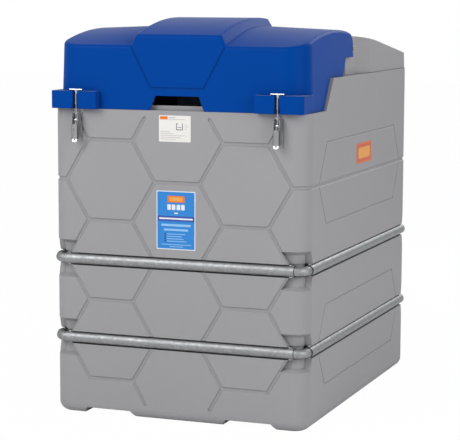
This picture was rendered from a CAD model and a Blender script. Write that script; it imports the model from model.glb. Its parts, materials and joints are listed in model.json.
"""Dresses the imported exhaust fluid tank: finishes, small parts, labels, light and camera."""

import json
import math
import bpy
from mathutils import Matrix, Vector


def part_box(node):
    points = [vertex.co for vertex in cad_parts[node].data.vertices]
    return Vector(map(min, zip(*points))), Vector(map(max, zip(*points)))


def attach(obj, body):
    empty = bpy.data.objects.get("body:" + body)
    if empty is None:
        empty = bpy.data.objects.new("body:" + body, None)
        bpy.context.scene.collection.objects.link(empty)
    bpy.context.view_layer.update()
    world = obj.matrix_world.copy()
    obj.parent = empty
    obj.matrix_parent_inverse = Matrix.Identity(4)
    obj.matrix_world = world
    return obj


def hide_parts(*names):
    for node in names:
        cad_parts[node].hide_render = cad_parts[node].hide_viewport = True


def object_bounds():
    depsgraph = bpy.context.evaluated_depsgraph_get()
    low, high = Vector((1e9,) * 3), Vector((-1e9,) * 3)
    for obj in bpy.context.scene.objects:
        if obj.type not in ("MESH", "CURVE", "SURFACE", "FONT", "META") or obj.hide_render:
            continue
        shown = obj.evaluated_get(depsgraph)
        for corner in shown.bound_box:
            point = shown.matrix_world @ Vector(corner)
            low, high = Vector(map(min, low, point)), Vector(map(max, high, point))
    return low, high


bl_info = {
    "name": "Exhaust Fluid Tank Dressing",
    "version": (1, 0, 0),
    "blender": (4, 5, 0),
    "location": "View3D > Sidebar > Fluid Tank",
    "description": "Finishes and small parts for a double-walled exhaust fluid tank",
    "category": "Object",
}

import bmesh
import bpy
from mathutils import Matrix, Vector

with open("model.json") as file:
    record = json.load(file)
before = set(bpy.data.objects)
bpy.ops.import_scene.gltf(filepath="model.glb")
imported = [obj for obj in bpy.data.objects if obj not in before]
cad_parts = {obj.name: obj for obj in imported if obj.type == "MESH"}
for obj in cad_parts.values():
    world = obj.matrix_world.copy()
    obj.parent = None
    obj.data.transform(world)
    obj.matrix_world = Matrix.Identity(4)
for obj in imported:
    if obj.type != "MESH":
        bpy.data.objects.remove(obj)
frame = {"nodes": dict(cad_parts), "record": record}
CAD_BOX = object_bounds()

MM = 0.001
NODES = frame["nodes"]
MERGE_DISTANCE = 1e-6
LABEL_LAYER = 0.12 * MM
BEND_STEPS = 16
CORNER_STEPS = 5
RIGHT_ANGLE = math.radians(90)
CORNERS = ((1, 1), (-1, 1), (-1, -1), (1, -1))

# latch lever, in millimetres from its pivot or from its foot
CHEEK_OUTLINE = ((12, 8), (8, 12), (-8, 12), (-12, 8), (-16, -35), (-16, -101), (-6, -101), (12, -35))
DRAW_PIN = (0, 2, -17)
TAB_HEIGHT = 12 * MM
TAB_LEAN = 0.35

# label fields on the front face, each left, right, bottom and top in millimetres
PLATE_GROUND = (-83, 66, 1243, 1358)
PLATE_BAR = (-78, -42, 1340, 1354)
PLATE_LINES = ((-38, -6, 1347, 1350), (-38, 40, 1340, 1342))
PLATE_TANK_OUTLINE = (
    (-2, 1, 1295, 1324),
    (26, 29, 1295, 1324),
    (1, 26, 1295, 1298),
    (5, 22, 1306, 1308),
    (1, 6, 1321, 1324),
)
PLATE_ROWS = (44, 60, 118, 96, 72)
PLATE_SIDE_ROWS = (12, 16, 10)
TALL_BORDER = (-95, 88, 771, 1029)
TALL_GROUND = (-91, 84, 775, 1025)
TALL_BAR = (-43, 38, 979, 1008)
TALL_BAR_MIDDLE = (-33, 28, 985, 1002)
TALL_BLOCKS = ((-44, -27), (-23, -6), (0, 17), (21, 38))
TALL_BLOCK_LEVELS = (946, 970)
TALL_DASH = (-10, 6, 929, 935)
TALL_BAND = (-91, 84, 896, 919)
TALL_BAND_LINE = (-82, 76, 904, 911)
TALL_LINES = ((-72, 66, 874, 884), (-60, 54, 854, 863), (-72, 68, 792, 795), (-34, 30, 783, 786))
TALL_ROWS = (86, 70, 78, 92)

# plate on the right side, in millimetres: its low and high end along Y, bottom and top
SIDE_PLATE = (-88, 149, 1106, 1199)
SIDE_LAYERS = ((0, 0, 4, 0), (1, 7, 3, 1), (2, 26, 14, 2))
SIDE_INSET_RATIO = 0.8

# stage
FLOOR_HALF = 30.0
FLOOR_TONE = 0.86
FLOOR_WHITENESS = 0.985
KEY_LAMP = ((-3.2, -6.0, 5.2), 4.6)
FILL_LAMP = ((5.5, -3.0, 3.0), 3.0)
RIM_LAMP = ((2.0, 5.0, 4.5), 3.0)


def joint_place(name):
    """Where a joint's axis stands at rest."""
    row = next(row for row in frame["record"]["behaviour"]["joints"] if row["name"] == name)
    return Vector(row["pos_m"])


def srgb(red, green, blue):
    """Linear colour of an 8-bit display colour."""

    def straighten(value):
        value = value / 255
        return value / 12.92 if value <= 0.04045 else ((value + 0.055) / 1.055) ** 2.4

    return (straighten(red), straighten(green), straighten(blue))


# settings


class ShellSettings(bpy.types.PropertyGroup):
    """Moulded outer tank and hood."""

    grey: bpy.props.FloatVectorProperty(
        name="Grey",
        description="Colour of the moulded outer tank and hood",
        subtype="COLOR",
        default=srgb(152, 151, 154),
        min=0,
        max=1,
    )
    roughness: bpy.props.FloatProperty(
        name="Roughness", description="Roughness of the moulded skin", default=0.5, min=0, max=1
    )
    edge_softness: bpy.props.FloatProperty(
        name="Edge softness",
        description="Radius over which moulded edges are shaded round",
        default=3 * MM,
        min=0,
        unit="LENGTH",
    )


class LidSettings(bpy.types.PropertyGroup):
    """Hinged service lid."""

    blue: bpy.props.FloatVectorProperty(
        name="Blue",
        description="Colour of the lid",
        subtype="COLOR",
        default=srgb(0, 64, 148),
        min=0,
        max=1,
    )
    roughness: bpy.props.FloatProperty(
        name="Roughness", description="Roughness of the lid's skin", default=0.42, min=0, max=1
    )
    edge_softness: bpy.props.FloatProperty(
        name="Edge softness",
        description="Radius over which the lid's edges are shaded round",
        default=6 * MM,
        min=0,
        unit="LENGTH",
    )
    bloom: bpy.props.FloatProperty(
        name="Bloom", description="Pale sheen of the lid at flat angles", default=0.22, min=0, max=1
    )


class RingSettings(bpy.types.PropertyGroup):
    """Galvanised tube rings."""

    zinc: bpy.props.FloatVectorProperty(
        name="Zinc",
        description="Colour of the galvanised tubes",
        subtype="COLOR",
        default=srgb(166, 168, 170),
        min=0,
        max=1,
    )
    bend_radius: bpy.props.FloatProperty(
        name="Bend radius",
        description="Radius of a bend's centreline",
        default=45 * MM,
        min=0.01,
        unit="LENGTH",
    )
    spigot: bpy.props.FloatProperty(
        name="Spigot",
        description="Length that a bend reaches into a tube",
        default=40 * MM,
        min=0,
        unit="LENGTH",
    )
    segments: bpy.props.IntProperty(
        name="Segments", description="Sides of a bend's section", default=40, min=8
    )
    side_seal: bpy.props.FloatProperty(
        name="Side seal",
        description="Width of the seal at a side tube's end",
        default=3 * MM,
        min=0.0001,
        unit="LENGTH",
    )
    end_seal: bpy.props.FloatProperty(
        name="End seal",
        description="Width of the seal at a front or rear tube's end",
        default=1 * MM,
        min=0.0001,
        unit="LENGTH",
    )


class LatchSettings(bpy.types.PropertyGroup):
    """Toggle latches."""

    half_width: bpy.props.FloatProperty(
        name="Half width", description="Half the lever's width", default=14 * MM, min=0.001, unit="LENGTH"
    )
    plate: bpy.props.FloatProperty(
        name="Plate",
        description="Thickness of the lever's sheet",
        default=2 * MM,
        min=0.0001,
        unit="LENGTH",
    )
    reach: bpy.props.FloatProperty(
        name="Reach",
        description="Distance from the pivot to the lever's front",
        default=16 * MM,
        min=0.001,
        unit="LENGTH",
    )
    shoulder: bpy.props.FloatProperty(
        name="Shoulder",
        description="How far the front plate starts under the pivot",
        default=35 * MM,
        min=0.001,
        unit="LENGTH",
    )
    slot_width: bpy.props.FloatProperty(
        name="Slot width",
        description="Width of the slot in the lever",
        default=10 * MM,
        min=0.001,
        unit="LENGTH",
    )
    web: bpy.props.FloatProperty(
        name="Web",
        description="Height of the taper under the cross head",
        default=17 * MM,
        min=0.001,
        unit="LENGTH",
    )
    wire: bpy.props.FloatProperty(
        name="Wire",
        description="Diameter of the spring's wire",
        default=1.4 * MM,
        min=0.0001,
        unit="LENGTH",
    )
    coils: bpy.props.IntProperty(name="Coils", description="Turns of the spring", default=7, min=1)
    coil_radius: bpy.props.FloatProperty(
        name="Coil radius", description="Radius of the spring", default=5 * MM, min=0.001, unit="LENGTH"
    )
    coil_start: bpy.props.FloatProperty(
        name="Coil start",
        description="Start of the spring over the draw bolt's foot",
        default=22 * MM,
        min=0,
        unit="LENGTH",
    )
    coil_length: bpy.props.FloatProperty(
        name="Coil length", description="Length of the spring", default=30 * MM, min=0.001, unit="LENGTH"
    )


class LabelSettings(bpy.types.PropertyGroup):
    """Plain labels without lettering."""

    blue: bpy.props.FloatVectorProperty(
        name="Blue",
        description="Ground of the tall label",
        subtype="COLOR",
        default=srgb(34, 128, 206),
        min=0,
        max=1,
    )
    orange: bpy.props.FloatVectorProperty(
        name="Orange",
        description="Colour of the bars",
        subtype="COLOR",
        default=srgb(226, 118, 40),
        min=0,
        max=1,
    )
    white: bpy.props.FloatVectorProperty(
        name="White",
        description="Ground of the data plate",
        subtype="COLOR",
        default=srgb(229, 227, 223),
        min=0,
        max=1,
    )
    thickness: bpy.props.FloatProperty(
        name="Thickness", description="Thickness of a label", default=0.8 * MM, min=0.0001, unit="LENGTH"
    )


class StageSettings(bpy.types.PropertyGroup):
    """Camera, lamps and floor."""

    focal: bpy.props.FloatProperty(
        name="Focal length",
        description="Lens for a 36 mm wide sensor",
        default=137.503,
        min=1,
        subtype="DISTANCE_CAMERA",
    )
    camera_place: bpy.props.FloatVectorProperty(
        name="Camera place",
        description="Where the camera stands",
        subtype="TRANSLATION",
        unit="LENGTH",
        default=(2.91008, -7.82107, 1.87722),
    )
    camera_turn: bpy.props.FloatVectorProperty(
        name="Camera turn",
        description="Yaw to the left, pitch down and roll of the camera",
        subtype="EULER",
        unit="ROTATION",
        default=(math.radians(20.761), math.radians(7.305), math.radians(0.1925)),
    )
    key_power: bpy.props.FloatProperty(
        name="Key power", description="Power of the main lamp", default=330, min=0
    )
    fill_power: bpy.props.FloatProperty(
        name="Fill power", description="Power of the fill lamp", default=130, min=0
    )
    sky: bpy.props.FloatProperty(
        name="Sky", description="Strength of the light from all round", default=0.42, min=0
    )


# shader helpers


def new_material(name):
    """Fresh material with its Principled shader and node tree."""
    material = bpy.data.materials.new(name)
    material.use_nodes = True
    tree = material.node_tree
    shader = next(node for node in tree.nodes if node.type == "BSDF_PRINCIPLED")
    return material, tree, shader


def add(tree, kind, inputs=None, **settings):
    """Add a node, set its fields and its input values."""
    node = tree.nodes.new(kind)
    for key, value in settings.items():
        setattr(node, key, value)
    for key, value in (inputs or {}).items():
        node.inputs[key].default_value = value
    return node


def new_group(name, inputs, outputs):
    """Empty node group with named sockets; returns the tree and its end nodes."""
    tree = bpy.data.node_groups.new(name, "ShaderNodeTree")
    for label, kind, value in inputs:
        socket = tree.interface.new_socket(name=label, in_out="INPUT", socket_type=kind)
        if value is not None:
            socket.default_value = value
    for label, kind in outputs:
        tree.interface.new_socket(name=label, in_out="OUTPUT", socket_type=kind)
    return tree, tree.nodes.new("NodeGroupInput"), tree.nodes.new("NodeGroupOutput")


def place_group(tree, group_name, inputs=None):
    """Put a node group into a tree."""
    node = tree.nodes.new("ShaderNodeGroup")
    node.node_tree = bpy.data.node_groups[group_name]
    for key, value in (inputs or {}).items():
        node.inputs[key].default_value = value
    return node


def build_moulded_grain():
    """Fine orange-peel relief and the slow waviness of a rotomoulded wall."""
    tree, start, end = new_group(
        "Moulded grain",
        [("Grain size", "NodeSocketFloat", 260.0), ("Waves", "NodeSocketFloat", 0.5)],
        [("Height", "NodeSocketFloat"), ("Fleck", "NodeSocketFloat")],
    )
    place = add(tree, "ShaderNodeTexCoord")
    fine = add(tree, "ShaderNodeTexNoise", {"Detail": 4.0, "Roughness": 0.6})
    slow = add(tree, "ShaderNodeTexNoise", {"Scale": 7.0, "Detail": 2.0, "Roughness": 0.45})
    tree.links.new(place.outputs["Object"], fine.inputs["Vector"])
    tree.links.new(place.outputs["Object"], slow.inputs["Vector"])
    tree.links.new(start.outputs["Grain size"], fine.inputs["Scale"])
    swell = add(tree, "ShaderNodeMath", operation="MULTIPLY")
    tree.links.new(slow.outputs["Fac"], swell.inputs[0])
    tree.links.new(start.outputs["Waves"], swell.inputs[1])
    both = add(tree, "ShaderNodeMath", operation="MULTIPLY_ADD")
    both.inputs[1].default_value = 0.06
    tree.links.new(fine.outputs["Fac"], both.inputs[0])
    tree.links.new(swell.outputs[0], both.inputs[2])
    tree.links.new(both.outputs[0], end.inputs["Height"])
    tree.links.new(fine.outputs["Fac"], end.inputs["Fleck"])


def build_tone_drift():
    """Slow change of tone over a large moulded or coated surface."""
    tree, start, end = new_group(
        "Tone drift",
        [
            ("Color", "NodeSocketColor", (0.5, 0.5, 0.5, 1)),
            ("Amount", "NodeSocketFloat", 0.06),
            ("Scale", "NodeSocketFloat", 2.4),
        ],
        [("Color", "NodeSocketColor"), ("Mask", "NodeSocketFloat")],
    )
    place = add(tree, "ShaderNodeTexCoord")
    cloud = add(tree, "ShaderNodeTexNoise", {"Detail": 5.0, "Roughness": 0.62})
    tree.links.new(place.outputs["Object"], cloud.inputs["Vector"])
    tree.links.new(start.outputs["Scale"], cloud.inputs["Scale"])
    centred = add(tree, "ShaderNodeMath", operation="SUBTRACT")
    centred.inputs[1].default_value = 0.5
    tree.links.new(cloud.outputs["Fac"], centred.inputs[0])
    scaled = add(tree, "ShaderNodeMath", operation="MULTIPLY_ADD")
    scaled.inputs[2].default_value = 1.0
    tree.links.new(centred.outputs[0], scaled.inputs[0])
    tree.links.new(start.outputs["Amount"], scaled.inputs[1])
    tint = add(tree, "ShaderNodeVectorMath", operation="SCALE")
    tree.links.new(start.outputs["Color"], tint.inputs[0])
    tree.links.new(scaled.outputs[0], tint.inputs["Scale"])
    tree.links.new(tint.outputs[0], end.inputs["Color"])
    tree.links.new(cloud.outputs["Fac"], end.inputs["Mask"])


def build_zinc_spangle():
    """Flower-like crystals of a hot-dip zinc coat."""
    tree, start, end = new_group(
        "Zinc spangle",
        [("Color", "NodeSocketColor", (0.5, 0.5, 0.5, 1)), ("Crystal size", "NodeSocketFloat", 90.0)],
        [("Color", "NodeSocketColor"), ("Roughness", "NodeSocketFloat"), ("Height", "NodeSocketFloat")],
    )
    place = add(tree, "ShaderNodeTexCoord")
    crystal = add(tree, "ShaderNodeTexVoronoi", feature="F1")
    tree.links.new(place.outputs["Object"], crystal.inputs["Vector"])
    tree.links.new(start.outputs["Crystal size"], crystal.inputs["Scale"])
    split = add(tree, "ShaderNodeSeparateColor")
    tree.links.new(crystal.outputs["Color"], split.inputs["Color"])
    tone = add(tree, "ShaderNodeMapRange", {"To Min": 0.86, "To Max": 1.08})
    tree.links.new(split.outputs["Red"], tone.inputs["Value"])
    tint = add(tree, "ShaderNodeVectorMath", operation="SCALE")
    tree.links.new(start.outputs["Color"], tint.inputs[0])
    tree.links.new(tone.outputs[0], tint.inputs["Scale"])
    tree.links.new(tint.outputs[0], end.inputs["Color"])
    rough = add(tree, "ShaderNodeMapRange", {"To Min": 0.48, "To Max": 0.62})
    tree.links.new(split.outputs["Green"], rough.inputs["Value"])
    tree.links.new(rough.outputs[0], end.inputs["Roughness"])
    wave = add(tree, "ShaderNodeTexNoise", {"Scale": 60.0, "Detail": 3.0})
    tree.links.new(place.outputs["Object"], wave.inputs["Vector"])
    tree.links.new(wave.outputs["Fac"], end.inputs["Height"])


def moulded_plastic(
    name, colour, roughness, softness, grain=260.0, waves=0.5, drift=0.06, sheen=0.35, dirt=0.0
):
    """Rotomoulded or injection-moulded plastic with soft edges."""
    material, tree, shader = new_material(name)
    tone = place_group(tree, "Tone drift", {"Color": (*colour, 1), "Amount": drift})
    skin = place_group(tree, "Moulded grain", {"Grain size": grain, "Waves": waves})
    shader.inputs["Specular IOR Level"].default_value = sheen
    if dirt:
        crease = add(tree, "ShaderNodeAmbientOcclusion", {"Distance": 0.009}, samples=6)
        depth = add(
            tree,
            "ShaderNodeMapRange",
            {"From Min": 0.35, "From Max": 0.95, "To Min": 1.0 - dirt, "To Max": 1.0},
        )
        tree.links.new(crease.outputs["AO"], depth.inputs["Value"])
        shade = add(tree, "ShaderNodeVectorMath", operation="SCALE")
        tree.links.new(tone.outputs["Color"], shade.inputs[0])
        tree.links.new(depth.outputs[0], shade.inputs["Scale"])
        tree.links.new(shade.outputs[0], shader.inputs["Base Color"])
    else:
        tree.links.new(tone.outputs["Color"], shader.inputs["Base Color"])
    gloss = add(tree, "ShaderNodeMapRange", {"To Min": roughness - 0.05, "To Max": roughness + 0.07})
    tree.links.new(skin.outputs["Fleck"], gloss.inputs["Value"])
    tree.links.new(gloss.outputs[0], shader.inputs["Roughness"])
    bump = add(tree, "ShaderNodeBump", {"Strength": 0.35, "Distance": 0.0009})
    tree.links.new(skin.outputs["Height"], bump.inputs["Height"])
    if softness:
        edge = add(tree, "ShaderNodeBevel", {"Radius": softness}, samples=6)
        tree.links.new(edge.outputs["Normal"], bump.inputs["Normal"])
    tree.links.new(bump.outputs["Normal"], shader.inputs["Normal"])
    return material


def zinc_coated(name, colour, crystal=90.0):
    """Galvanised steel tube."""
    material, tree, shader = new_material(name)
    spangle = place_group(tree, "Zinc spangle", {"Color": (*colour, 1), "Crystal size": crystal})
    shader.inputs["Metallic"].default_value = 1.0
    tree.links.new(spangle.outputs["Color"], shader.inputs["Base Color"])
    tree.links.new(spangle.outputs["Roughness"], shader.inputs["Roughness"])
    bump = add(tree, "ShaderNodeBump", {"Strength": 0.12, "Distance": 0.0006})
    tree.links.new(spangle.outputs["Height"], bump.inputs["Height"])
    tree.links.new(bump.outputs["Normal"], shader.inputs["Normal"])
    return material


def bright_steel(name, colour, roughness=0.3):
    """Plated or stainless steel with fine drawing marks."""
    material, tree, shader = new_material(name)
    shader.inputs["Metallic"].default_value = 1.0
    tone = place_group(tree, "Tone drift", {"Color": (*colour, 1), "Amount": 0.2, "Scale": 30.0})
    tree.links.new(tone.outputs["Color"], shader.inputs["Base Color"])
    place = add(tree, "ShaderNodeTexCoord")
    stretch = add(tree, "ShaderNodeMapping", {"Scale": (40.0, 900.0, 900.0)})
    marks = add(tree, "ShaderNodeTexNoise", {"Scale": 1.0, "Detail": 2.0})
    tree.links.new(place.outputs["Object"], stretch.inputs["Vector"])
    tree.links.new(stretch.outputs["Vector"], marks.inputs["Vector"])
    gloss = add(tree, "ShaderNodeMapRange", {"To Min": roughness - 0.08, "To Max": roughness + 0.1})
    tree.links.new(marks.outputs["Fac"], gloss.inputs["Value"])
    tree.links.new(gloss.outputs[0], shader.inputs["Roughness"])
    bump = add(tree, "ShaderNodeBump", {"Strength": 0.08, "Distance": 0.0003})
    tree.links.new(marks.outputs["Fac"], bump.inputs["Height"])
    tree.links.new(bump.outputs["Normal"], shader.inputs["Normal"])
    return material


def printed_film(name, colour, roughness=0.35):
    """Smooth printed film of a label."""
    material, tree, shader = new_material(name)
    tone = place_group(tree, "Tone drift", {"Color": (*colour, 1), "Amount": 0.05, "Scale": 14.0})
    tree.links.new(tone.outputs["Color"], shader.inputs["Base Color"])
    gloss = add(tree, "ShaderNodeMapRange", {"To Min": roughness - 0.04, "To Max": roughness + 0.06})
    tree.links.new(tone.outputs["Mask"], gloss.inputs["Value"])
    tree.links.new(gloss.outputs[0], shader.inputs["Roughness"])
    return material


def finish_node(node, material):
    """Give a CAD node its finish."""
    mesh = NODES[node].data
    mesh.materials.clear()
    mesh.materials.append(material)


# mesh helpers


def make_piece(name, shape, materials, body, stands_for=(), smooth=40):
    """Turn a bmesh into a piece that rides on a body."""
    bmesh.ops.remove_doubles(shape, verts=shape.verts, dist=MERGE_DISTANCE)
    bmesh.ops.recalc_face_normals(shape, faces=shape.faces)
    mesh = bpy.data.meshes.new(name)
    shape.to_mesh(mesh)
    shape.free()
    mesh.shade_smooth()
    mesh.set_sharp_from_angle(angle=math.radians(smooth))
    for material in materials:
        mesh.materials.append(material)
    piece = bpy.data.objects.new(name, mesh)
    bpy.context.scene.collection.objects.link(piece)
    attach(piece, body)
    if stands_for:
        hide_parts(*stands_for)
    return piece


def add_plate(shape, low, high, round_axis, radius=0.0, material=0):
    """Plate between two corners with its corners rounded about one axis."""
    centre = (low + high) / 2
    made = bmesh.ops.create_cube(shape, size=1.0)
    size = high - low
    bmesh.ops.scale(shape, vec=size, verts=made["verts"])
    bmesh.ops.translate(shape, vec=centre, verts=made["verts"])
    faces = {face for vert in made["verts"] for face in vert.link_faces}
    for face in faces:
        face.material_index = material
    if radius:
        axis = {"X": Vector((1, 0, 0)), "Y": Vector((0, 1, 0)), "Z": Vector((0, 0, 1))}[round_axis]
        edges = [
            edge
            for edge in {edge for vert in made["verts"] for edge in vert.link_edges}
            if abs((edge.verts[1].co - edge.verts[0].co).normalized().dot(axis)) > 0.9
        ]
        bmesh.ops.bevel(
            shape,
            geom=edges,
            offset=radius,
            segments=CORNER_STEPS,
            profile=0.5,
            affect="EDGES",
            material=-1,
        )


def add_round_bar(shape, start, end, radius, end_radius=None, segments=24):
    """Closed round bar or taper between two points."""
    run = end - start
    made = bmesh.ops.create_cone(
        shape,
        cap_ends=True,
        segments=segments,
        radius1=radius,
        radius2=radius if end_radius is None else end_radius,
        depth=run.length,
    )
    turn = run.to_track_quat("Z", "Y").to_matrix().to_4x4()
    bmesh.ops.transform(shape, matrix=Matrix.Translation((start + end) / 2) @ turn, verts=made["verts"])
    return made["verts"]


def rounded_loop(half_width, low, high, radius, steps=CORNER_STEPS):
    """Corner points of a rounded rectangle in the XZ plane, anticlockwise from the right."""
    points = []
    for across, up, start in ((1, 1, 0), (-1, 1, 90), (-1, -1, 180), (1, -1, 270)):
        x = across * (half_width - radius)
        z = high - radius if up > 0 else low + radius
        for step in range(steps + 1):
            angle = math.radians(start + 90 * step / steps)
            points.append((x + radius * math.cos(angle), z + radius * math.sin(angle)))
    return points


def add_slotted_plate(shape, centre_x, front, thickness, outline, slot):
    """Upright plate with a slot through it, its outline and slot given as matching loops."""
    rings = []
    for loop in (outline, slot):
        rings.append([shape.verts.new((centre_x + x, front, z)) for x, z in loop])
    count = len(outline)
    faces = []
    for k in range(count):
        n = (k + 1) % count
        faces.append(shape.faces.new((rings[0][k], rings[0][n], rings[1][n], rings[1][k])))
    grown = bmesh.ops.extrude_face_region(shape, geom=faces)
    fresh = [item for item in grown["geom"] if isinstance(item, bmesh.types.BMVert)]
    bmesh.ops.translate(shape, vec=Vector((0, thickness, 0)), verts=fresh)


def add_side_plate(shape, start_x, thickness, outline):
    """Flat plate across X with an outline in the YZ plane."""
    face = shape.faces.new([shape.verts.new((start_x, y, z)) for y, z in outline])
    grown = bmesh.ops.extrude_face_region(shape, geom=[face])
    fresh = [item for item in grown["geom"] if isinstance(item, bmesh.types.BMVert)]
    bmesh.ops.translate(shape, vec=Vector((thickness, 0, 0)), verts=fresh)


# pieces


class FLUIDTANK_OT_shells(bpy.types.Operator):
    """Finish the moulded outer tank, the hood and the inner tank"""

    bl_idname = "fluidtank.shells"
    bl_label = "Moulded shells"

    def execute(self, context):
        settings = context.scene.tank_shell
        grey = moulded_plastic(
            "shell_grey", settings.grey, settings.roughness, settings.edge_softness, dirt=0.45
        )
        hood = moulded_plastic(
            "hood_grey", settings.grey, settings.roughness, settings.edge_softness * 2, dirt=0.3
        )
        natural = moulded_plastic("inner_natural", srgb(214, 216, 208), 0.45, 6 * MM, waves=0.8)
        finish_node("outer_tank", grey)
        finish_node("rear_hood", hood)
        finish_node("inner_tank", natural)
        return {"FINISHED"}


class FLUIDTANK_OT_lid(bpy.types.Operator):
    """Finish the hinged service lid"""

    bl_idname = "fluidtank.lid"
    bl_label = "Service lid"

    def execute(self, context):
        settings = context.scene.tank_lid
        blue = moulded_plastic(
            "lid_blue",
            settings.blue,
            settings.roughness,
            settings.edge_softness,
            drift=0.05,
            sheen=0.03,
            dirt=0.35,
        )
        shader = next(node for node in blue.node_tree.nodes if node.type == "BSDF_PRINCIPLED")
        shader.inputs["Sheen Weight"].default_value = settings.bloom
        shader.inputs["Sheen Roughness"].default_value = 0.3
        finish_node("service_lid", blue)
        return {"FINISHED"}


class FLUIDTANK_OT_rings(bpy.types.Operator):
    """Finish the tube rings and round their bends"""

    bl_idname = "fluidtank.rings"
    bl_label = "Tube rings"

    def execute(self, context):
        settings = context.scene.tank_rings
        zinc = zinc_coated("galvanised_tube", settings.zinc)
        bolt_steel = bright_steel("bolt_zinc", srgb(200, 202, 206))
        rubber = moulded_plastic("seal_rubber", srgb(26, 26, 28), 0.6, 0, grain=700.0)
        for ring in ("upper", "lower"):
            for side in ("front", "rear", "left", "right"):
                finish_node(f"{ring}_ring_{side}", zinc)
            finish_node(f"{ring}_ring_bolts", bolt_steel)
            self.bends(ring, settings, zinc)
            self.seals(ring, settings, rubber)
        return {"FINISHED"}

    def seals(self, ring, settings, rubber):
        """Dark seals between the tubes' ends and the bends."""
        low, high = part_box(f"{ring}_ring_elbows")
        across_low, across_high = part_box(f"{ring}_ring_front")
        bend_radius = (high.z - low.z) / 2
        radius = (across_high.z - across_low.z) / 2 - 0.05 * MM
        level = (high.z + low.z) / 2
        reach_x = high.x - bend_radius
        reach_y = high.y - bend_radius
        shape = bmesh.new()
        for side in (-1, 1):
            for end in (-1, 1):
                start = Vector((side * reach_x, end * (reach_y - settings.bend_radius), level))
                add_round_bar(
                    shape, start, start + Vector((0, end * settings.side_seal, 0)), radius, segments=40
                )
                start = Vector((side * (reach_x - settings.bend_radius), end * reach_y, level))
                add_round_bar(
                    shape, start, start + Vector((side * settings.end_seal, 0, 0)), radius, segments=40
                )
        make_piece(f"{ring}_ring_seals", shape, [rubber], "tank")

    def bends(self, ring, settings, zinc):
        """Four smooth bends with their spigots."""
        node = f"{ring}_ring_elbows"
        low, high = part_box(node)
        radius = (high.z - low.z) / 2
        level = (high.z + low.z) / 2
        bend = settings.bend_radius
        centre = Vector((high.x - radius - bend, high.y - radius - bend, level))
        shape = bmesh.new()
        for turn in range(4):
            made = bmesh.ops.create_circle(shape, segments=settings.segments, radius=radius, cap_ends=False)
            rim = list({edge for vert in made["verts"] for edge in vert.link_edges})
            stand = Matrix.Translation(Vector((bend, 0, 0))) @ Matrix.Rotation(RIGHT_ANGLE, 4, "X")
            bmesh.ops.transform(shape, matrix=stand, verts=made["verts"])
            swept = bmesh.ops.spin(
                shape,
                geom=made["verts"] + rim,
                cent=(0, 0, 0),
                axis=(0, 0, 1),
                dvec=(0, 0, 0),
                angle=RIGHT_ANGLE,
                steps=BEND_STEPS,
                use_duplicate=False,
            )
            last = [item for item in swept["geom_last"] if isinstance(item, bmesh.types.BMEdge)]
            for ends, along in ((rim, Vector((0, -1, 0))), (last, Vector((-1, 0, 0)))):
                spigot = bmesh.ops.extrude_edge_only(shape, edges=ends)
                fresh = [item for item in spigot["geom"] if isinstance(item, bmesh.types.BMVert)]
                bmesh.ops.translate(shape, vec=along * settings.spigot, verts=fresh)
                cap = [item for item in spigot["geom"] if isinstance(item, bmesh.types.BMEdge)]
                bmesh.ops.holes_fill(shape, edges=[edge for edge in cap if edge.is_boundary], sides=0)
            verts = [vert for vert in shape.verts if not vert.tag]
            side, end = CORNERS[turn]
            stand = Matrix.Translation(Vector((side * centre.x, end * centre.y, level)))
            bmesh.ops.transform(
                shape, matrix=stand @ Matrix.Rotation(RIGHT_ANGLE * turn, 4, "Z"), verts=verts
            )
            for vert in shape.verts:
                vert.tag = True
        make_piece(f"{ring}_ring_bends", shape, [zinc], "tank", [node])


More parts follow.
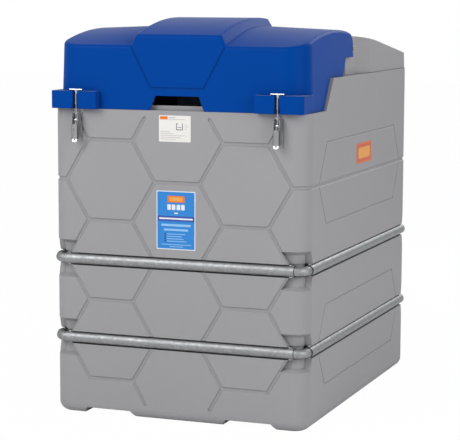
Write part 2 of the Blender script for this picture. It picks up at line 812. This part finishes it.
class FLUIDTANK_OT_latches(bpy.types.Operator):
    """Finish the two toggle latches"""

    bl_idname = "fluidtank.latches"
    bl_label = "Latches"

    def execute(self, context):
        steel = bright_steel("latch_plate_steel", srgb(186, 187, 190))
        rod = bright_steel("latch_rod_steel", srgb(206, 207, 210), 0.24)
        for side in ("left", "right"):
            finish_node(f"latch_base_{side}", steel)
            finish_node(f"latch_draw_bolt_{side}", rod)
            self.lever(context.scene.tank_latches, side, steel)
            self.head_web(context.scene.tank_latches, side, rod)
            self.spring(context.scene.tank_latches, side, rod)
        finish_node("latch_rivets", rod)
        return {"FINISHED"}

    def lever(self, settings, side, steel):
        """Bent lever with a slotted front, two cheeks, a thumb tab and the draw pin."""
        pivot = joint_place(f"latch_{side}")
        low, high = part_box(f"latch_lever_{side}")
        front = pivot.y - settings.reach
        plate_top = pivot.z - settings.shoulder
        foot = low.z + TAB_HEIGHT
        half = settings.half_width
        shape = bmesh.new()
        outline = rounded_loop(half, foot, plate_top, 2 * MM)
        slot_half = settings.slot_width / 2
        slot = rounded_loop(slot_half, foot + 13 * MM, plate_top - 14 * MM, slot_half - 0.1 * MM)
        add_slotted_plate(shape, pivot.x, front, settings.plate, outline, slot)
        cheek = [(pivot.y + y * MM, pivot.z + z * MM) for y, z in CHEEK_OUTLINE]
        add_side_plate(shape, pivot.x - half, settings.plate, cheek)
        add_side_plate(shape, pivot.x + half - settings.plate, settings.plate, cheek)
        tab = rounded_loop(half - 2 * MM, low.z, foot + 4 * MM, 9 * MM)
        hole = rounded_loop(4 * MM, low.z + 5 * MM, low.z + 11 * MM, 2.9 * MM)
        before = set(shape.verts)
        add_slotted_plate(shape, pivot.x, front - 0.4 * MM, settings.plate, tab, hole)
        for vert in shape.verts:
            if vert not in before:
                vert.co.y -= max(0.0, foot - vert.co.z) * TAB_LEAN
        pin = Vector(DRAW_PIN) * MM
        reach = Vector((half + 1 * MM, 0, 0))
        add_round_bar(shape, pivot + pin - reach, pivot + pin + reach, 3 * MM)
        make_piece(
            f"latch_lever_plate_{side}",
            shape,
            [steel],
            f"lever_{side}",
            [f"latch_lever_{side}"],
            smooth=30,
        )

    def head_web(self, settings, side, rod):
        """Flattened taper that joins the cross head to its sleeve."""
        low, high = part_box(f"latch_draw_bolt_{side}")
        middle = (low + high) / 2
        shape = bmesh.new()
        top = Vector((middle.x, middle.y, high.z - 6 * MM))
        verts = add_round_bar(shape, top - Vector((0, 0, settings.web)), top, 6 * MM, 9.5 * MM)
        for vert in verts:
            vert.co.y = middle.y + (vert.co.y - middle.y) * 0.55
        make_piece(f"latch_head_web_{side}", shape, [rod], f"draw_{side}")

    def spring(self, settings, side, rod):
        """Coil under the sleeve that keeps the rod up while the latch is open."""
        low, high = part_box(f"latch_draw_bolt_{side}")
        middle = (low + high) / 2
        curve = bpy.data.curves.new(f"latch_spring_{side}", "CURVE")
        curve.dimensions = "3D"
        curve.bevel_depth = settings.wire / 2
        curve.bevel_resolution = 2
        turns = settings.coils
        steps = 12 * turns
        coil = curve.splines.new("NURBS")
        coil.points.add(steps)
        for step in range(steps + 1):
            angle = math.tau * step / 12
            coil.points[step].co = (
                middle.x + settings.coil_radius * math.cos(angle),
                middle.y + settings.coil_radius * math.sin(angle),
                low.z + settings.coil_start + settings.coil_length * step / steps,
                1,
            )
        coil.use_endpoint_u = True
        curve.materials.append(rod)
        piece = bpy.data.objects.new(f"latch_spring_{side}", curve)
        bpy.context.scene.collection.objects.link(piece)
        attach(piece, f"draw_{side}")


class FLUIDTANK_OT_fasteners(bpy.types.Operator):
    """Finish the screws and the lid's hinge bolts"""

    bl_idname = "fluidtank.fasteners"
    bl_label = "Fasteners"

    def execute(self, context):
        steel = bright_steel("screw_steel", srgb(196, 198, 202))
        for node in ("hood_screws", "step_screws", "deck_screws", "hinge_bolts", "hinge_nuts"):
            finish_node(node, steel)
        return {"FINISHED"}


class FLUIDTANK_OT_fittings(bpy.types.Operator):
    """Finish the pump, gauge, caps and pipes under the lid"""

    bl_idname = "fluidtank.fittings"
    bl_label = "Fittings"

    def execute(self, context):
        black = moulded_plastic("fitting_black", srgb(34, 34, 36), 0.5, 1 * MM, grain=700.0)
        blue = moulded_plastic("pump_blue", srgb(24, 76, 140), 0.4, 2 * MM, grain=600.0)
        grey = moulded_plastic("pipe_grey", srgb(112, 114, 118), 0.45, 1 * MM, grain=600.0)
        white = moulded_plastic("float_white", srgb(226, 226, 220), 0.5, 2 * MM, grain=600.0)
        red = moulded_plastic("switch_red", srgb(176, 26, 22), 0.35, 0.5 * MM, grain=900.0)
        steel = bright_steel("fitting_stainless", srgb(204, 205, 208))
        sheet = bright_steel("bracket_stainless", srgb(190, 192, 195), 0.36)
        finishes = {
            black: (
                "tank_cap",
                "fill_cap",
                "level_gauge",
                "pump_motor",
                "foot_valve",
                "flow_meter",
                "nozzle_holder",
            ),
            blue: ("pump_body",),
            grey: ("tank_vent", "suction_pipe", "meter_button_left", "meter_button_right"),
            white: ("gauge_float",),
            red: ("pump_switch",),
            steel: ("fill_coupling", "pressure_pipe", "outlet_fitting"),
            sheet: ("pump_bracket",),
        }
        for material, nodes in finishes.items():
            for node in nodes:
                finish_node(node, material)
        return {"FINISHED"}


class FLUIDTANK_OT_labels(bpy.types.Operator):
    """Stick the plain labels on the front and the right side"""

    bl_idname = "fluidtank.labels"
    bl_label = "Labels"

    def execute(self, context):
        settings = context.scene.tank_labels
        inks = {
            "white": printed_film("label_white", settings.white),
            "blue": printed_film("label_blue", settings.blue),
            "orange": printed_film("label_orange", settings.orange),
            "pale": printed_film("label_pale", srgb(222, 228, 236)),
            "grey": printed_film("label_grey", srgb(176, 174, 170)),
            "yellow": printed_film("label_yellow", srgb(232, 160, 74)),
            "coral": printed_film("label_coral", srgb(206, 92, 62)),
            "indigo": printed_film("label_indigo", srgb(52, 74, 158)),
            "sky": printed_film("label_sky", srgb(142, 190, 232)),
            "dark": printed_film("label_dark", srgb(44, 52, 66)),
        }
        low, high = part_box("outer_tank")
        self.front(settings, low.y, inks)
        self.side(settings, high.x, inks)
        return {"FINISHED"}

    def field(self, shape, settings, face, lift, box, material, radius=0.0):
        """Field on the front face; its left, right, bottom and top are in millimetres."""
        left, right, bottom, top = box
        thick = settings.thickness if lift == 0 else LABEL_LAYER
        back = face if lift == 0 else face - settings.thickness - LABEL_LAYER * (lift - 1)
        low = Vector((left * MM, back - thick, bottom * MM))
        high = Vector((right * MM, back, top * MM))
        add_plate(shape, low, high, "Y", radius * MM, material)

    def front(self, settings, face, inks):
        """Data plate and tall label on the front."""
        self.data_plate(settings, face, [inks[name] for name in ("white", "orange", "grey", "dark")])
        names = ("pale", "blue", "orange", "yellow", "indigo", "sky", "dark")
        self.tall_label(settings, face, [inks[name] for name in names])

    def data_plate(self, settings, face, inks):
        """White plate with plain bars and the outline of a tank; ink 0 is its ground."""
        plate = bmesh.new()
        self.field(plate, settings, face, 0, PLATE_GROUND, 0, 3)
        self.field(plate, settings, face, 1, PLATE_BAR, 1)
        for box in PLATE_LINES:
            self.field(plate, settings, face, 1, box, 2)
        for box in PLATE_TANK_OUTLINE:
            self.field(plate, settings, face, 1, box, 3)
        for row, reach in enumerate(PLATE_ROWS):
            level = 1286 - 8 * row
            self.field(plate, settings, face, 1, (-76, -76 + reach, level, level + 2), 2)
        for row, reach in enumerate(PLATE_SIDE_ROWS):
            level = 1318 - 9 * row
            self.field(plate, settings, face, 1, (38, 38 + reach, level, level + 1.8), 2)
        make_piece("data_plate", plate, inks, "tank")

    def tall_label(self, settings, face, inks):
        """Blue label with a pale border, plain bars and rows of blocks; ink 0 is its border."""
        tall = bmesh.new()
        self.field(tall, settings, face, 0, TALL_BORDER, 0, 4)
        self.field(tall, settings, face, 1, TALL_GROUND, 1, 3)
        self.field(tall, settings, face, 2, TALL_BAR, 2)
        self.field(tall, settings, face, 3, TALL_BAR_MIDDLE, 3, 2)
        for left, right in TALL_BLOCKS:
            self.field(tall, settings, face, 2, (left, right, *TALL_BLOCK_LEVELS), 0, 3)
        self.field(tall, settings, face, 2, TALL_DASH, 0)
        self.field(tall, settings, face, 2, TALL_BAND, 4)
        self.field(tall, settings, face, 3, TALL_BAND_LINE, 0)
        for box in TALL_LINES[:2]:
            self.field(tall, settings, face, 2, box, 5)
        for row, reach in enumerate(TALL_ROWS):
            level = 838 - 10.5 * row
            self.field(tall, settings, face, 2, (-58, -51, level - 1, level + 5), 6)
            self.field(tall, settings, face, 2, (-46, -46 + reach, level, level + 3.4), 5)
        for box in TALL_LINES[2:]:
            self.field(tall, settings, face, 2, box, 5)
        make_piece("tall_label", tall, inks, "tank")

    def side(self, settings, face, inks):
        """Framed plate on the right side."""
        near, far, bottom, top = SIDE_PLATE
        shape = bmesh.new()
        for lift, inset, radius, index in SIDE_LAYERS:
            thick = settings.thickness if lift == 0 else LABEL_LAYER
            start = face if lift == 0 else face + settings.thickness + LABEL_LAYER * (lift - 1)
            rise = inset * SIDE_INSET_RATIO
            low = Vector((start, (near + inset) * MM, (bottom + rise) * MM))
            high = Vector((start + thick, (far - inset) * MM, (top - rise) * MM))
            add_plate(shape, low, high, "X", radius * MM, index)
        make_piece(
            "side_label", shape, [inks["orange"], inks["coral"], inks["yellow"]], "tank"
        )


class FLUIDTANK_OT_stage(bpy.types.Operator):
    """Set up the floor, the lamps and the camera"""

    bl_idname = "fluidtank.stage"
    bl_label = "Stage"

    def execute(self, context):
        settings = context.scene.tank_stage
        self.floor()
        self.sky(context.scene, settings)
        self.lamp("key_lamp", *KEY_LAMP, settings.key_power)
        self.lamp("fill_lamp", *FILL_LAMP, settings.fill_power)
        self.lamp("rim_lamp", *RIM_LAMP, settings.fill_power)
        self.camera(context.scene, settings)
        context.scene.view_settings.view_transform = "Standard"
        return {"FINISHED"}

    def floor(self):
        """Pale floor that fades into a white background and keeps the object's shadow."""
        shape = bmesh.new()
        bmesh.ops.create_grid(shape, x_segments=2, y_segments=2, size=FLOOR_HALF)
        mesh = bpy.data.meshes.new("floor")
        shape.to_mesh(mesh)
        shape.free()
        floor = bpy.data.objects.new("floor", mesh)
        bpy.context.scene.collection.objects.link(floor)
        material, tree, shader = new_material("floor_white")
        shader.inputs["Base Color"].default_value = (FLOOR_TONE, FLOOR_TONE, FLOOR_TONE, 1)
        shader.inputs["Roughness"].default_value = 1.0
        shader.inputs["Specular IOR Level"].default_value = 0.0
        glow = add(tree, "ShaderNodeEmission", {"Color": (1, 1, 1, 1), "Strength": 1.0})
        rays = add(tree, "ShaderNodeLightPath")
        share = add(tree, "ShaderNodeMath", operation="MULTIPLY")
        share.inputs[1].default_value = FLOOR_WHITENESS
        tree.links.new(rays.outputs["Is Camera Ray"], share.inputs[0])
        mixed = add(tree, "ShaderNodeMixShader")
        tree.links.new(share.outputs[0], mixed.inputs["Fac"])
        tree.links.new(shader.outputs[0], mixed.inputs[1])
        tree.links.new(glow.outputs[0], mixed.inputs[2])
        output = next(node for node in tree.nodes if node.type == "OUTPUT_MATERIAL")
        tree.links.new(mixed.outputs[0], output.inputs["Surface"])
        mesh.materials.append(material)

    def sky(self, scene, settings):
        """Even light from all round, white where the camera sees it."""
        world = bpy.data.worlds.new("studio")
        world.use_nodes = True
        tree = world.node_tree
        ground = next(node for node in tree.nodes if node.type == "BACKGROUND")
        rays = add(tree, "ShaderNodeLightPath")
        level = add(tree, "ShaderNodeMapRange", {"To Min": settings.sky, "To Max": 1.0})
        tree.links.new(rays.outputs["Is Camera Ray"], level.inputs["Value"])
        tree.links.new(level.outputs[0], ground.inputs["Strength"])
        ground.inputs["Color"].default_value = (1, 1, 1, 1)
        scene.world = world

    def lamp(self, name, place, size, power):
        """Soft square lamp aimed at the middle of the object."""
        light = bpy.data.lights.new(name, "AREA")
        light.size = size
        light.energy = power
        lamp = bpy.data.objects.new(name, light)
        middle = (CAD_BOX[0] + CAD_BOX[1]) / 2
        lamp.location = place
        lamp.rotation_euler = (middle - Vector(place)).to_track_quat("-Z", "Y").to_euler()
        bpy.context.scene.collection.objects.link(lamp)

    def camera(self, scene, settings):
        """Camera at the photograph's viewpoint."""
        yaw, pitch, roll = settings.camera_turn
        ahead = Vector(
            (-math.sin(yaw) * math.cos(pitch), math.cos(yaw) * math.cos(pitch), -math.sin(pitch))
        )
        right = Vector((math.cos(yaw), math.sin(yaw), 0))
        above = right.cross(ahead)
        turned_right = math.cos(roll) * right + math.sin(roll) * above
        turned_above = math.cos(roll) * above - math.sin(roll) * right
        data = bpy.data.cameras.new("camera")
        data.sensor_width = 36.0
        data.lens = settings.focal
        camera = bpy.data.objects.new("camera", data)
        facing = Matrix((turned_right, turned_above, -ahead)).transposed()
        camera.matrix_world = Matrix.Translation(Vector(settings.camera_place)) @ facing.to_4x4()
        scene.collection.objects.link(camera)
        scene.camera = camera


class FLUIDTANK_PT_sidebar(bpy.types.Panel):
    """Lists the dressing steps"""

    bl_idname = "FLUIDTANK_PT_sidebar"
    bl_label = "Fluid Tank"
    bl_space_type = "VIEW_3D"
    bl_region_type = "UI"
    bl_category = "Fluid Tank"

    def draw(self, context):
        for operator in OPERATORS:
            self.layout.operator(operator.bl_idname)


SETTINGS = {
    "tank_shell": ShellSettings,
    "tank_lid": LidSettings,
    "tank_rings": RingSettings,
    "tank_latches": LatchSettings,
    "tank_labels": LabelSettings,
    "tank_stage": StageSettings,
}
OPERATORS = (
    FLUIDTANK_OT_shells,
    FLUIDTANK_OT_lid,
    FLUIDTANK_OT_rings,
    FLUIDTANK_OT_latches,
    FLUIDTANK_OT_fasteners,
    FLUIDTANK_OT_fittings,
    FLUIDTANK_OT_labels,
    FLUIDTANK_OT_stage,
)


def register():
    for name, settings in SETTINGS.items():
        bpy.utils.register_class(settings)
        setattr(bpy.types.Scene, name, bpy.props.PointerProperty(type=settings))
    for operator in OPERATORS:
        bpy.utils.register_class(operator)
    bpy.utils.register_class(FLUIDTANK_PT_sidebar)


def unregister():
    bpy.utils.unregister_class(FLUIDTANK_PT_sidebar)
    for operator in reversed(OPERATORS):
        bpy.utils.unregister_class(operator)
    for name, settings in reversed(SETTINGS.items()):
        delattr(bpy.types.Scene, name)
        bpy.utils.unregister_class(settings)


def main():
    register()
    build_moulded_grain()
    build_tone_drift()
    build_zinc_spangle()
    bpy.ops.fluidtank.shells()
    bpy.ops.fluidtank.lid()
    bpy.ops.fluidtank.rings()
    bpy.ops.fluidtank.latches()
    bpy.ops.fluidtank.fasteners()
    bpy.ops.fluidtank.fittings()
    bpy.ops.fluidtank.labels()
    bpy.ops.fluidtank.stage()


if __name__ == "__main__":
    main()
